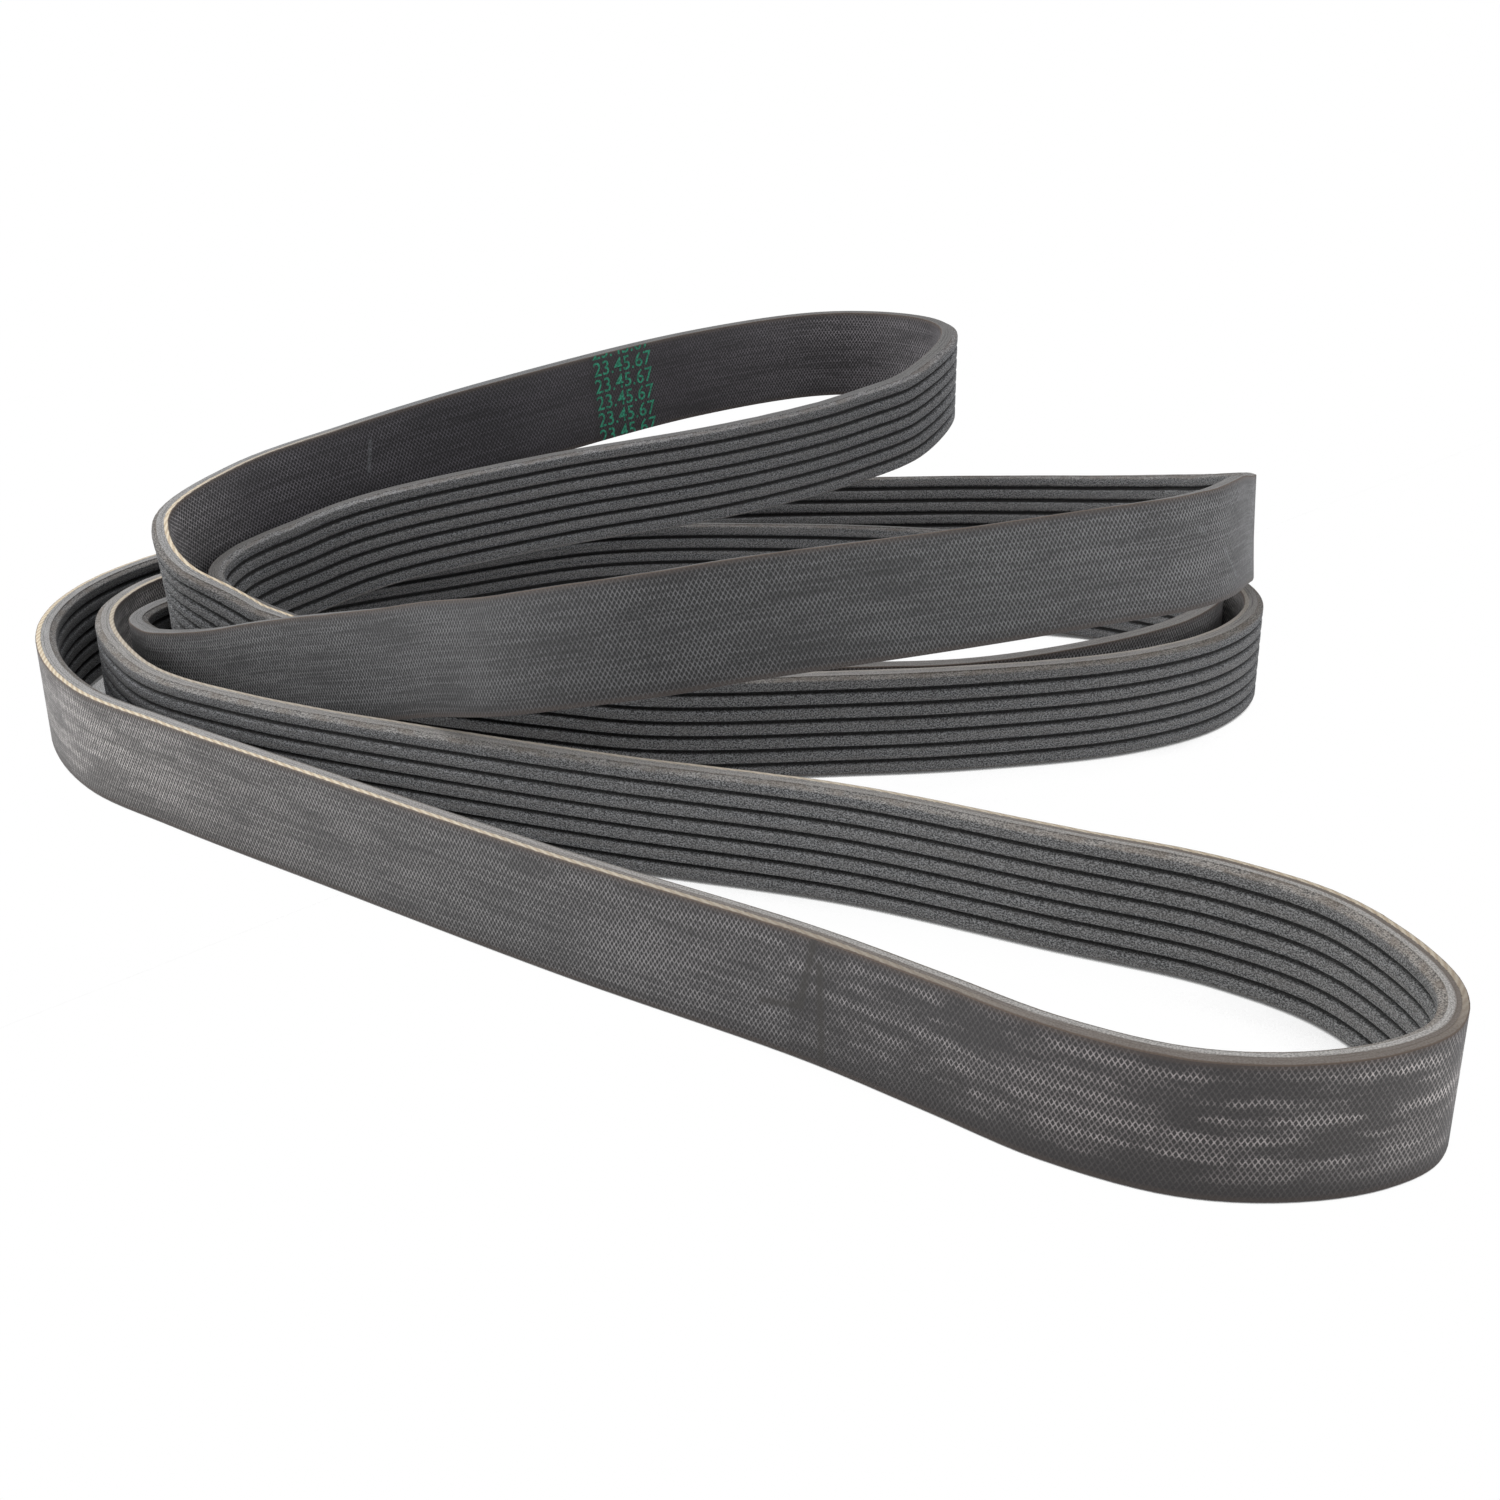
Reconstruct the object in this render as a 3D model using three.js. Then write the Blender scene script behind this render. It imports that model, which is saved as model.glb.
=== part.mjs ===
// Serpentine belt: an endless seven-rib rubber belt for an engine's accessory drive, lying loosely folded
// on edge. Millimetres, +Z up, origin under the middle of the folded belt, on the surface it lies on.
// The belt is one solid: its ribbed cross-section is swept along one closed route.

import * as THREE from "three";

// Ribs, across the belt
const ribCount = 7;
const ribPitch = 3.56;
const ribAngle = 40; // degrees between the two flanks of a groove
const ribTipWidth = 2.2;
const grooveFloorWidth = 0.35;
const edgeLand = 0.25; // flat left beside each outermost rib

// Layers through the belt, counted from the cord line, which keeps its length when the belt bends
const backThickness = 1.0; // cover fabric and rubber outside the cords
const baseThickness = 2.4; // rubber between the cords and the groove floors
const edgeRound = 0.3; // the back's two long edges are eased by this much

// Facets along the belt
const bendStep = 21; // degrees of turn between two cross-sections, at most
const runStep = 60; // millimetres between two cross-sections, at most
const samplesPerPoint = 40;

const beltWidth = ribCount * ribPitch;
const grooveDepth =
  (ribPitch - ribTipWidth - grooveFloorWidth) / 2 / Math.tan(THREE.MathUtils.degToRad(ribAngle / 2));
const ribReach = baseThickness + grooveDepth; // from the cord line to the rib tips

// The route of the cord line, in the order of travel, seen from above: ribs on the right hand, back fabric
// on the left. Each row is x, y, level and lean. Level is the height of the belt's lower edge in belt
// widths, so 0 stands on the ground and a little over 1 clears a strand below. Lean is in degrees and
// tips the upper edge towards the back fabric. The rows are chosen by hand.
const route = {
  frontBend: [
    [135.7, -143.9, 0, 0],
    [131.2, -156.9, 0, 0],
    [120.7, -163.9, 0, 0],
    [104.7, -167.1, 0, 0],
  ],
  frontRun: [
    [87.7, -165.1, 0, 0],
    [68.7, -155.3, 0, 0],
    [51.7, -141.3, 0, 0],
    [31.7, -125.1, 0, 0],
    [-12.7, -95.0, 0, 0],
    [-64.3, -57.3, 0, 0],
    [-106.3, -26.1, 0, 0],
    [-130.3, -6.3, 0, 0],
  ],
  outerLeftBend: [
    [-147.3, 19.1, 0, 0],
    [-155.8, 46.1, 0, 0],
    [-154.3, 74.1, 0, 0],
    [-142.3, 97.1, 0.02, 0],
  ],
  outerBackRun: [
    [-120.3, 112.1, 0.08, 4],
    [-82.3, 124.1, 0.17, 8],
    [-27.3, 127.1, 0.35, 12],
    [22.7, 125.1, 0.47, 15],
    [59.7, 122.1, 0.51, 16],
    [83.7, 119.6, 0.54, 16],
    [103.7, 115.6, 0.58, 14],
    [125.7, 110.1, 0.63, 12],
    [141.7, 103.1, 0.71, 8],
  ],
  climbingRightBend: [
    [151.2, 93.1, 0.82, 3],
    [155.3, 80.1, 0.97, 0],
    [153.5, 64.1, 1.12, -2],
    [149.1, 46.1, 1.29, -4],
    [143.7, 26.1, 1.49, -6],
    [136.7, 6.1, 1.69, -9],
    [130.7, -5.9, 1.74, -12],
  ],
  crossingRun: [
    [121.7, -15.9, 1.76, -16],
    [97.7, -27.4, 1.75, -20],
    [62.7, -39.9, 1.71, -20],
    [24.7, -52.4, 1.68, -18],
    [6.7, -55.9, 1.61, -17],
    [-11.3, -54.4, 1.49, -17],
    [-29.3, -46.9, 1.3, -15],
    [-43.3, -32.9, 1.09, -11],
    [-57.3, -18.9, 0.85, -7],
    [-72.3, -6.9, 0.65, -5],
    [-87.3, 6.1, 0.43, -3],
    [-107.3, 21.1, 0.14, -2],
    [-126.3, 34.1, 0, 0],
  ],
  innerLeftBend: [
    [-133.3, 45.1, 0, 0],
    [-128.8, 60.1, 0, 0],
  ],
  innerBackRun: [
    [-107.3, 74.1, 0, 2],
    [-67.3, 89.1, 0.08, 6],
    [-17.3, 102.6, 0.19, 10],
    [32.7, 105.1, 0.16, 12],
    [75.7, 101.1, 0.13, 10],
    [108.7, 96.1, 0.02, 4],
    [127.7, 88.6, 0, 0],
  ],
  innerRightBend: [
    [143.7, 74.1, 0, 0],
    [144.7, 55.1, 0, 0],
  ],
  innerMiddleRun: [
    [131.7, 35.1, 0, 0],
    [106.7, 18.1, 0, 0],
    [74.7, 5.9, 0, 0],
    [44.7, 3.9, 0, 0],
    [0.7, 3.6, 0, 0],
    [-29.3, 11.1, 0, 0],
    [-61.3, 24.1, 0, 0],
    [-88.3, 34.9, 0.06, 0],
  ],
  climbingLeftBend: [
    [-104.3, 42.3, 0.21, 0],
    [-110.6, 48.6, 0.3, 0],
    [-111.4, 57.5, 0.41, 0],
    [-106.3, 64.7, 0.53, 0],
  ],
  risingRun: [
    [-89.3, 72.6, 0.74, 0],
    [-71.3, 76.1, 0.96, 0],
    [-30.3, 83.1, 1.24, 0],
    [15.7, 88.1, 1.5, 0],
    [51.7, 107.1, 1.66, 0],
    [68.7, 116.1, 1.83, 0],
  ],
  topBend: [
    [79.2, 132.1, 2.09, 0],
    [77.7, 152.1, 2.13, 0],
    [64.7, 165.1, 2.13, 0],
  ],
  topRun: [
    [44.7, 166.1, 2.13, 0],
    [7.7, 149.1, 2.05, 0],
    [-42.3, 111.1, 1.85, 0],
    [-82.3, 91.1, 1.52, 0],
    [-107.3, 76.1, 1.28, 0],
  ],
  fallingLeftBend: [
    [-120.8, 58.1, 1.04, 0],
    [-119.3, 44.1, 0.78, 0],
  ],
  middleRun: [
    [-105.3, 34.6, 0.38, 0],
    [-83.3, 28.1, 0.1, 0],
    [-57.3, 17.6, 0, 0],
    [-25.3, 6.1, 0, 0],
    [0.7, -0.9, 0, 0],
    [44.7, -0.1, 0, 0],
    [74.7, 2.6, 0, 0],
    [112.7, 11.1, 0, 0],
    [136.7, 25.6, 0, 0],
  ],
  outerRightBend: [
    [149.7, 46.1, 0, 0],
    [149.7, 68.1, 0, 0],
    [137.7, 88.1, 0, 0],
  ],
  middleBackRun: [
    [114.7, 103.1, 0, 0],
    [72.7, 110.1, 0, 0],
    [22.7, 112.1, 0, 0],
    [-27.3, 110.1, 0, 0],
    [-77.3, 102.1, 0, 0],
    [-117.3, 94.1, 0, 0],
  ],
  middleLeftBend: [
    [-135.3, 79.1, 0, 0],
    [-140.8, 60.1, 0, 0],
    [-138.8, 44.1, 0, 0],
    [-129.3, 24.1, 0, 0],
  ],
  returnRun: [
    [-114.8, 5.1, 0, 0],
    [-90.8, -10.9, 0, 0],
    [-68.8, -21.9, 0, 0],
    [-7.3, -47.4, 0, 0],
    [42.7, -64.9, 0, 0],
    [81.2, -84.9, 0, 0],
    [110.7, -100.4, 0, 0],
    [127.7, -116.9, 0, 0],
  ],
};

// The cross-section, counter-clockwise: x runs from the rib tips (negative) to the back (positive), and
// y across the belt from its lower edge to its upper edge.
function beltSection() {
  const section = new THREE.Shape();
  section.moveTo(backThickness - edgeRound, 0);
  section.lineTo(backThickness, edgeRound);
  section.lineTo(backThickness, beltWidth - edgeRound);
  section.lineTo(backThickness - edgeRound, beltWidth);
  section.lineTo(-baseThickness, beltWidth);
  for (let rib = ribCount - 1; rib >= 0; rib -= 1) {
    const middle = (rib + 0.5) * ribPitch;
    const foot = (ribPitch - grooveFloorWidth) / 2;
    const upperFoot = rib === ribCount - 1 ? ribPitch / 2 - edgeLand : foot;
    const lowerFoot = rib === 0 ? ribPitch / 2 - edgeLand : foot;
    section.lineTo(-baseThickness, middle + upperFoot);
    section.lineTo(-ribReach, middle + ribTipWidth / 2);
    section.lineTo(-ribReach, middle - ribTipWidth / 2);
    section.lineTo(-baseThickness, middle - lowerFoot);
  }
  section.lineTo(-baseThickness, 0);
  return section.getPoints();
}

// The cord line as a closed curve through the rows' places, and the leans at the same rows.
function beltCurves() {
  const rows = Object.values(route).flat();
  const places = rows.map(([x, y, level]) => new THREE.Vector3(x, y, level * beltWidth));
  return {
    cordLine: new THREE.CatmullRomCurve3(places, true, "centripetal"),
    leans: rows.map(([, , , lean]) => THREE.MathUtils.degToRad(lean)),
  };
}

function leanAt(leans, t) {
  const place = t * leans.length;
  const before = Math.floor(place) % leans.length;
  const after = (before + 1) % leans.length;
  return THREE.MathUtils.lerp(leans[before], leans[after], THREE.MathUtils.smoothstep(place % 1, 0, 1));
}

// Where the cross-sections stand: close together in the bends and far apart on the runs.
function stationParameters({ cordLine, leans }) {
  const sampleCount = leans.length * samplesPerPoint;
  const effort = [0];
  for (let i = 1; i <= sampleCount; i += 1) {
    const from = cordLine.getPoint((i - 1) / sampleCount);
    const to = cordLine.getPoint(i / sampleCount);
    const turn = cordLine.getTangent((i - 1) / sampleCount).angleTo(cordLine.getTangent(i / sampleCount));
    effort.push(effort[i - 1] + THREE.MathUtils.radToDeg(turn) / bendStep + from.distanceTo(to) / runStep);
  }
  const stationCount = Math.ceil(effort[sampleCount]);
  const parameters = [];
  let sample = 0;
  for (let station = 0; station < stationCount; station += 1) {
    const wanted = (station / stationCount) * effort[sampleCount];
    while (effort[sample + 1] <= wanted) {
      sample += 1;
    }
    const share = (wanted - effort[sample]) / (effort[sample + 1] - effort[sample]);
    parameters.push((sample + share) / sampleCount);
  }
  return parameters;
}

// The belt's own directions at one place: towards the back fabric, and up across its width.
function stationFrame({ cordLine, leans }, t) {
  const forward = cordLine.getTangent(t);
  const level = new THREE.Vector3(0, 0, 1).cross(forward).normalize();
  const upright = forward.clone().cross(level);
  const lean = leanAt(leans, t);
  const towardsBack = level.clone().multiplyScalar(Math.cos(lean)).addScaledVector(upright, -Math.sin(lean));
  const across = upright.multiplyScalar(Math.cos(lean)).addScaledVector(level, Math.sin(lean));
  const footRise = Math.max(backThickness * Math.sin(lean), -ribReach * Math.sin(lean));
  const origin = cordLine.getPoint(t);
  origin.z = Math.max(origin.z, 0) + footRise; // never below the ground, however the curve swings
  return { origin, towardsBack, across };
}

function beltGeometry() {
  const section = beltSection();
  const curves = beltCurves();
  const stations = stationParameters(curves).map((t) => stationFrame(curves, t));
  const positions = [];
  for (const { origin, towardsBack, across } of stations) {
    for (const point of section) {
      const corner = origin.clone().addScaledVector(towardsBack, point.x).addScaledVector(across, point.y);
      positions.push(corner.x, corner.y, corner.z);
    }
  }
  const faces = [];
  const size = section.length;
  for (let station = 0; station < stations.length; station += 1) {
    const here = station * size;
    const next = ((station + 1) % stations.length) * size;
    for (let i = 0; i < size; i += 1) {
      const j = (i + 1) % size;
      faces.push(here + i, here + j, next + j);
      faces.push(here + i, next + j, next + i);
    }
  }
  const geometry = new THREE.BufferGeometry();
  geometry.setAttribute("position", new THREE.Float32BufferAttribute(positions, 3));
  geometry.setIndex(faces);
  geometry.computeVertexNormals();
  return geometry;
}

function centreOnGround(geometry) {
  geometry.computeBoundingBox();
  const middle = geometry.boundingBox.getCenter(new THREE.Vector3());
  geometry.translate(-middle.x, -middle.y, -geometry.boundingBox.min.z);
  return geometry;
}

const rubber = new THREE.MeshStandardMaterial({ color: 0x3d3c3d, roughness: 0.85, metalness: 0 });

const belt = new THREE.Mesh(centreOnGround(beltGeometry()), rubber);
belt.name = "belt";

const serpentineBelt = new THREE.Group();
serpentineBelt.name = "serpentine_belt";
serpentineBelt.add(belt);

export default serpentineBelt;
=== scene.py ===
# %% [markdown]
# # A folded serpentine belt
#
# A serpentine belt is one endless band of rubber. Seven V-shaped ribs run round its inside, a woven cover
# lies on its outside, and strong cords are buried between the two. Here it lies on its edge, folded loosely
# into a nest of loops, as a new belt does when it comes out of its sleeve. This lesson loads the plain solid
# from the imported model, models the belt again with round rib tips and slightly rough edges, and gives each
# side of the rubber its own finish.

# %% Tools and the frame
import bisect
import math

import bpy
from mathutils import Matrix, Vector, noise


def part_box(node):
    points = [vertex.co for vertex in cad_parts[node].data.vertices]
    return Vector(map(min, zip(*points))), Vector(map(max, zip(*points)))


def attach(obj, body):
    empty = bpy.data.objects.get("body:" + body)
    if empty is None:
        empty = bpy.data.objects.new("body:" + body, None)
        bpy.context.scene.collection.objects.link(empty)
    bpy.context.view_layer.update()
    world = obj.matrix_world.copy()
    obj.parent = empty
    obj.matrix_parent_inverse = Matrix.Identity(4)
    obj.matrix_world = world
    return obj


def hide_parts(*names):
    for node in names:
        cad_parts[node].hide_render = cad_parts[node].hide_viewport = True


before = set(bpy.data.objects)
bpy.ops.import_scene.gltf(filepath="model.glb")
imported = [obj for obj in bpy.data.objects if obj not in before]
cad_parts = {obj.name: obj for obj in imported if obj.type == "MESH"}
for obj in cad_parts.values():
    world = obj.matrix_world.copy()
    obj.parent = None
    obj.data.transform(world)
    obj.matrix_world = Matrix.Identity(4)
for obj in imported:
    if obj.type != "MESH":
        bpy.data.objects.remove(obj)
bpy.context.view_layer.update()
belt_low, belt_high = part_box("belt")
millimetre = 0.001
print("belt solid, mm:", [round(side / millimetre, 1) for side in belt_high - belt_low])

# %% [markdown]
# ## Sizes of the belt
#
# The rib pitch of car accessory belts is a standard, 3.56 mm, so the number of ribs gives the width. Depths
# are counted from the cord line, the layer that keeps its length when the belt bends. All sizes in this
# script are millimetres until a mesh is made.

# %% Belt sizes
rib_count = 7
rib_pitch = 3.56
rib_angle = 40.0
rib_tip_width = 2.2
groove_floor_width = 0.35
edge_land = 0.25
back_thickness = 1.0
base_thickness = 2.4
edge_round = 0.3
tip_round = 0.3
corner_round = 0.12
belt_width = rib_count * rib_pitch
groove_depth = (rib_pitch - rib_tip_width - groove_floor_width) / 2 / math.tan(math.radians(rib_angle / 2))
rib_reach = base_thickness + groove_depth
print("belt width and thickness, mm:", round(belt_width, 2), round(back_thickness + rib_reach, 2))

# %% [markdown]
# ## The route
#
# The cord line runs along one closed route. Each row is x, y, level and lean, in the order of travel, with
# the ribs on the right hand. Level is the height of the lower edge in belt widths: 0 stands on the ground,
# and a little over 1 clears a strand below. Lean tips the upper edge towards the woven back. The rows are
# the same as the solid's, so the new surface lies where the solid is.

# %% Route of the cord line
route = {
    "front bend": [(135.7, -143.9, 0, 0), (131.2, -156.9, 0, 0), (120.7, -163.9, 0, 0),
                   (104.7, -167.1, 0, 0)],
    "front run": [(87.7, -165.1, 0, 0), (68.7, -155.3, 0, 0), (51.7, -141.3, 0, 0), (31.7, -125.1, 0, 0),
                  (-12.7, -95.0, 0, 0), (-64.3, -57.3, 0, 0), (-106.3, -26.1, 0, 0), (-130.3, -6.3, 0, 0)],
    "outer left bend": [(-147.3, 19.1, 0, 0), (-155.8, 46.1, 0, 0), (-154.3, 74.1, 0, 0),
                        (-142.3, 97.1, 0.02, 0)],
    "outer back run": [(-120.3, 112.1, 0.08, 4), (-82.3, 124.1, 0.17, 8), (-27.3, 127.1, 0.35, 12),
                       (22.7, 125.1, 0.47, 15), (59.7, 122.1, 0.51, 16), (83.7, 119.6, 0.54, 16),
                       (103.7, 115.6, 0.58, 14), (125.7, 110.1, 0.63, 12), (141.7, 103.1, 0.71, 8)],
    "climbing right bend": [(151.2, 93.1, 0.82, 3), (155.3, 80.1, 0.97, 0), (153.5, 64.1, 1.12, -2),
                            (149.1, 46.1, 1.29, -4), (143.7, 26.1, 1.49, -6), (136.7, 6.1, 1.69, -9),
                            (130.7, -5.9, 1.74, -12)],
    "crossing run": [(121.7, -15.9, 1.76, -16), (97.7, -27.4, 1.75, -20), (62.7, -39.9, 1.71, -20),
                     (24.7, -52.4, 1.68, -18), (6.7, -55.9, 1.61, -17), (-11.3, -54.4, 1.49, -17),
                     (-29.3, -46.9, 1.3, -15), (-43.3, -32.9, 1.09, -11), (-57.3, -18.9, 0.85, -7),
                     (-72.3, -6.9, 0.65, -5), (-87.3, 6.1, 0.43, -3), (-107.3, 21.1, 0.14, -2),
                     (-126.3, 34.1, 0, 0)],
    "inner left bend": [(-133.3, 45.1, 0, 0), (-128.8, 60.1, 0, 0)],
    "inner back run": [(-107.3, 74.1, 0, 2), (-67.3, 89.1, 0.08, 6), (-17.3, 102.6, 0.19, 10),
                       (32.7, 105.1, 0.16, 12), (75.7, 101.1, 0.13, 10), (108.7, 96.1, 0.02, 4),
                       (127.7, 88.6, 0, 0)],
    "inner right bend": [(143.7, 74.1, 0, 0), (144.7, 55.1, 0, 0)],
    "inner middle run": [(131.7, 35.1, 0, 0), (106.7, 18.1, 0, 0), (74.7, 5.9, 0, 0), (44.7, 3.9, 0, 0),
                         (0.7, 3.6, 0, 0), (-29.3, 11.1, 0, 0), (-61.3, 24.1, 0, 0), (-88.3, 34.9, 0.06, 0)],
    "climbing left bend": [(-104.3, 42.3, 0.21, 0), (-110.6, 48.6, 0.3, 0), (-111.4, 57.5, 0.41, 0),
                           (-106.3, 64.7, 0.53, 0)],
    "rising run": [(-89.3, 72.6, 0.74, 0), (-71.3, 76.1, 0.96, 0), (-30.3, 83.1, 1.24, 0),
                   (15.7, 88.1, 1.5, 0), (51.7, 107.1, 1.66, 0), (68.7, 116.1, 1.83, 0)],
    "top bend": [(79.2, 132.1, 2.09, 0), (77.7, 152.1, 2.13, 0), (64.7, 165.1, 2.13, 0)],
    "top run": [(44.7, 166.1, 2.13, 0), (7.7, 149.1, 2.05, 0), (-42.3, 111.1, 1.85, 0),
                (-82.3, 91.1, 1.52, 0), (-107.3, 76.1, 1.28, 0)],
    "falling left bend": [(-120.8, 58.1, 1.04, 0), (-119.3, 44.1, 0.78, 0)],
    "middle run": [(-105.3, 34.6, 0.38, 0), (-83.3, 28.1, 0.1, 0), (-57.3, 17.6, 0, 0), (-25.3, 6.1, 0, 0),
                   (0.7, -0.9, 0, 0), (44.7, -0.1, 0, 0), (74.7, 2.6, 0, 0), (112.7, 11.1, 0, 0),
                   (136.7, 25.6, 0, 0)],
    "outer right bend": [(149.7, 46.1, 0, 0), (149.7, 68.1, 0, 0), (137.7, 88.1, 0, 0)],
    "middle back run": [(114.7, 103.1, 0, 0), (72.7, 110.1, 0, 0), (22.7, 112.1, 0, 0),
                        (-27.3, 110.1, 0, 0), (-77.3, 102.1, 0, 0), (-117.3, 94.1, 0, 0)],
    "middle left bend": [(-135.3, 79.1, 0, 0), (-140.8, 60.1, 0, 0), (-138.8, 44.1, 0, 0),
                         (-129.3, 24.1, 0, 0)],
    "return run": [(-114.8, 5.1, 0, 0), (-90.8, -10.9, 0, 0), (-68.8, -21.9, 0, 0), (-7.3, -47.4, 0, 0),
                   (42.7, -64.9, 0, 0), (81.2, -84.9, 0, 0), (110.7, -100.4, 0, 0), (127.7, -116.9, 0, 0)],
}
rows = [row for stretch in route.values() for row in stretch]
places = [Vector((x, y, level * belt_width)) for x, y, level, lean in rows]
leans = [math.radians(row[3]) for row in rows]
print("route:", len(route), "stretches,", len(rows), "rows")

# %% [markdown]
# ## A smooth closed curve
#
# A centripetal Catmull-Rom curve passes through every row and makes no loops where rows stand close. The
# solid uses the same curve, so both follow the same path. The frame at each place has one direction out of
# the woven back and one across the belt, which the lean then tips.

# %% Curve through the rows
def route_point(t):
    """The cord line at t, which runs from 0 to 1 once round the belt."""
    count = len(places)
    place = (t % 1.0) * count
    i = int(place)
    w = place - i
    p0, p1, p2, p3 = (places[(i + k) % count] for k in (-1, 0, 1, 2))
    d0, d1, d2 = ((a - b).length_squared ** 0.25 for a, b in ((p0, p1), (p1, p2), (p2, p3)))
    leave = ((p1 - p0) / d0 - (p2 - p0) / (d0 + d1) + (p2 - p1) / d1) * d1
    arrive = ((p2 - p1) / d1 - (p3 - p1) / (d1 + d2) + (p3 - p2) / d2) * d1
    bow = -3 * p1 + 3 * p2 - 2 * leave - arrive
    return p1 + leave * w + bow * w ** 2 + (2 * p1 - 2 * p2 + leave + arrive) * w ** 3


def route_tangent(t):
    """The direction of travel at t."""
    step = 0.0001
    return (route_point(t + step) - route_point(t - step)).normalized()


def lean_at(t):
    """The lean at t, eased from row to row."""
    place = (t % 1.0) * len(leans)
    i = int(place)
    w = place - i
    return leans[i] + (leans[(i + 1) % len(leans)] - leans[i]) * w * w * (3 - 2 * w)


def belt_frame(t):
    """Cord-line point at the lower edge, direction out of the back, and direction across the belt."""
    forward = route_tangent(t)
    level = Vector((0, 0, 1)).cross(forward).normalized()
    upright = forward.cross(level)
    lean = lean_at(t)
    out_of_back = level * math.cos(lean) - upright * math.sin(lean)
    across = upright * math.cos(lean) + level * math.sin(lean)
    foot_rise = max(back_thickness * math.sin(lean), -rib_reach * math.sin(lean))
    foot = route_point(t)
    foot.z = max(foot.z, 0) + foot_rise
    return foot, out_of_back, across


# %% [markdown]
# ## Where the cross-sections stand
#
# A bend needs many cross-sections and a straight run few. Each small step along the curve costs a share for
# its length and a share for its turn, and the cross-sections stand at equal costs. The first one stands at
# the splice of the woven cover on the front run, so that the place where the surface pattern starts and ends
# is the place where the real cover does.

# %% Stations along the belt
splice_row = 7.06
run_step = 6.5
bend_step = 6.5
samples = 6000
start = splice_row / len(rows)
path = [route_point(start + k / samples) for k in range(samples + 1)]
headings = [route_tangent(start + k / samples) for k in range(samples + 1)]
cost, length = [0.0], [0.0]
for k in range(samples):
    piece = (path[k + 1] - path[k]).length
    turn = math.degrees(headings[k].angle(headings[k + 1], 0.0))
    length.append(length[k] + piece)
    cost.append(cost[k] + piece / run_step + turn / bend_step)
belt_length = length[-1]
station_count = math.ceil(cost[-1])


def at_equal_costs(count):
    """Curve parameter and arc length of count cross-sections at equal costs."""
    found = []
    k = 0
    for station in range(count):
        wanted = cost[-1] * station / count
        while cost[k + 1] <= wanted:
            k += 1
        share = (wanted - cost[k]) / (cost[k + 1] - cost[k])
        found.append((start + (k + share) / samples, length[k] + (length[k + 1] - length[k]) * share))
    return found


stations = at_equal_costs(station_count)
print("belt length, mm:", round(belt_length), "in", station_count, "stations")

# %% [markdown]
# ## The cross-section
#
# Round the section once: up the woven back, over the cut edge, down the seven ribs and over the other cut
# edge. Rib tips and groove floors have small fillets, each drawn by three points of a curve through its
# corner. The woven back and the cut edges get a few more points in between, so that their faces follow the
# twist of the strands. Each point carries the name of the finish that starts there.

# %% Section points
def fillet(before, corner, after, size, steps=3):
    """Points that round off a corner, starting at most size before it and ending at most size after it."""
    before, corner, after = Vector(before), Vector(corner), Vector(after)
    a = corner + (before - corner).normalized() * min(size, (before - corner).length / 2)
    b = corner + (after - corner).normalized() * min(size, (after - corner).length / 2)
    points = []
    for k in range(steps):
        w = k / (steps - 1)
        points.append(a * (1 - w) ** 2 + corner * 2 * w * (1 - w) + b * w ** 2)
    return points


def section_corners():
    """Each corner of the section as its depth and side, its rounding and the finish that starts there."""
    corners = [((back_thickness, 0.0), edge_round, "back"),
               ((back_thickness, belt_width), edge_round, "edge"),
               ((-base_thickness, belt_width), corner_round, "ribs")]
    for rib in reversed(range(rib_count)):
        middle = (rib + 0.5) * rib_pitch
        foot = (rib_pitch - groove_floor_width) / 2
        upper = rib_pitch / 2 - edge_land if rib == rib_count - 1 else foot
        lower = rib_pitch / 2 - edge_land if rib == 0 else foot
        corners.append(((-base_thickness, middle + upper), corner_round, "ribs"))
        corners.append(((-rib_reach, middle + rib_tip_width / 2), tip_round, "ribs"))
        corners.append(((-rib_reach, middle - rib_tip_width / 2), tip_round, "ribs"))
        corners.append(((-base_thickness, middle - lower), corner_round, "ribs"))
    corners.append(((-base_thickness, 0.0), corner_round, "edge"))
    return corners


corners = section_corners()
section, finish_of = [], []
for k, (corner, size, finish) in enumerate(corners):
    before, after = corners[k - 1][0], corners[(k + 1) % len(corners)][0]
    points = fillet(before, corner, after, size)
    section += points
    finish_of += [finish] * len(points)
    if finish in ("back", "edge"):
        last, nearest = points[-1], Vector(after)
        for share in (0.225, 0.45, 0.675):
            section.append(last.lerp(nearest, share))
            finish_of.append(finish)
print("section:", len(section), "points")

# %% [markdown]
# ## Rolling a flat grid into a belt
#
# A grid primitive is a flat sheet whose rows and columns are easy to count. Its columns become the
# cross-sections and its rows the points round the section, so moving each vertex to its place rolls the
# sheet into the whole folded ring in one go. Two maps are written while the rows and columns are still
# known: the distance along the belt with the place across it, and with the depth through it. Merging the
# doubled vertices closes the ring. The cut edges get a little roughness on the way, fine and slow, each
# given by its amount in mm and its scale.

# %% Grid helper
merge_distance = 0.002 * millimetre
smooth_angle = math.radians(50)


def deselect_all():
    bpy.ops.object.select_all(action="DESELECT")


def rough(place, amount, scale):
    """A smooth random shift of at most amount mm; a larger scale gives finer bumps."""
    return amount * noise.noise(Vector(place) * scale)


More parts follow.
